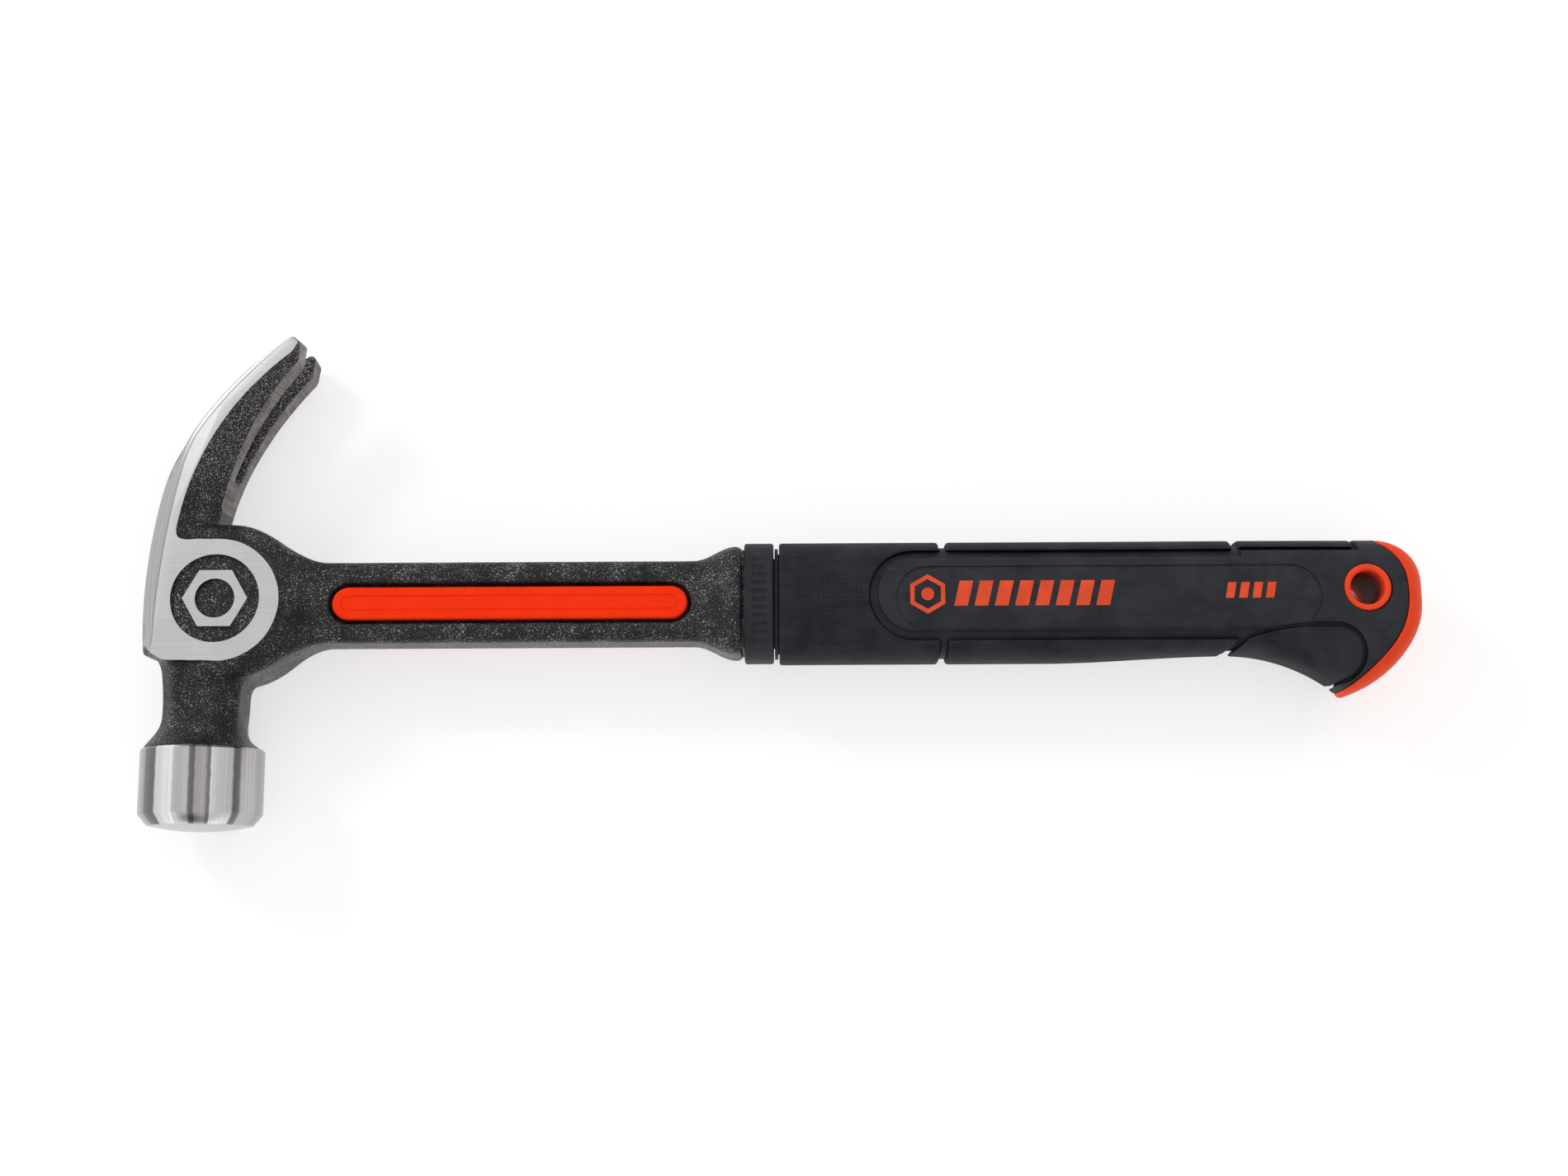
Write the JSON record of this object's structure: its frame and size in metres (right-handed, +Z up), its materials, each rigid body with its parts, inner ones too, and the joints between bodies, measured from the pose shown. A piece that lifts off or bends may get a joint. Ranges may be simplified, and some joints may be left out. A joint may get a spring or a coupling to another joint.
{
  "type": "claw hammer",
  "caption": "Curved-claw hammer forged in one piece, with a polished cheek and bell, a black shank with orange inlays, and a moulded black and orange grip with a hang hole.",
  "frame": {"origin": "centre of the bounding box in plan, at the height of the surface that the hammer lies on", "axes": "+X along the handle from head to butt, +Y from the striking face towards the claws, +Z up, square to the side that the hammer lies on"},
  "size_m": [0.3416, 0.1328, 0.0322],
  "materials": {
    "forged_steel": "black scale on the forged skin, ground and brushed bright on the cheeks, claw sides and bell",
    "orange_inlay": "smooth satin orange plastic",
    "collar_plastic": "matt black, with small debossed ribs",
    "hard_grip": "fine matt black",
    "soft_grip": "soft matt black rubber, dotted at the thumb",
    "orange_cap": "matt orange plastic"
  },
  "bodies": {
    "root": {"forged_body": "forged_steel", "shank_inlay_front": "orange_inlay", "shank_inlay_back": "orange_inlay", "collar_ring": "collar_plastic", "grip_frame": "hard_grip", "front_grip_sleeve": "soft_grip", "top_front_pad": "soft_grip", "top_rear_pad": "soft_grip", "bottom_front_pad": "soft_grip", "bottom_rear_pad": "soft_grip", "butt_cap": "orange_cap", "hang_hole_bushing": "orange_cap"}
  },
  "joints": []
}
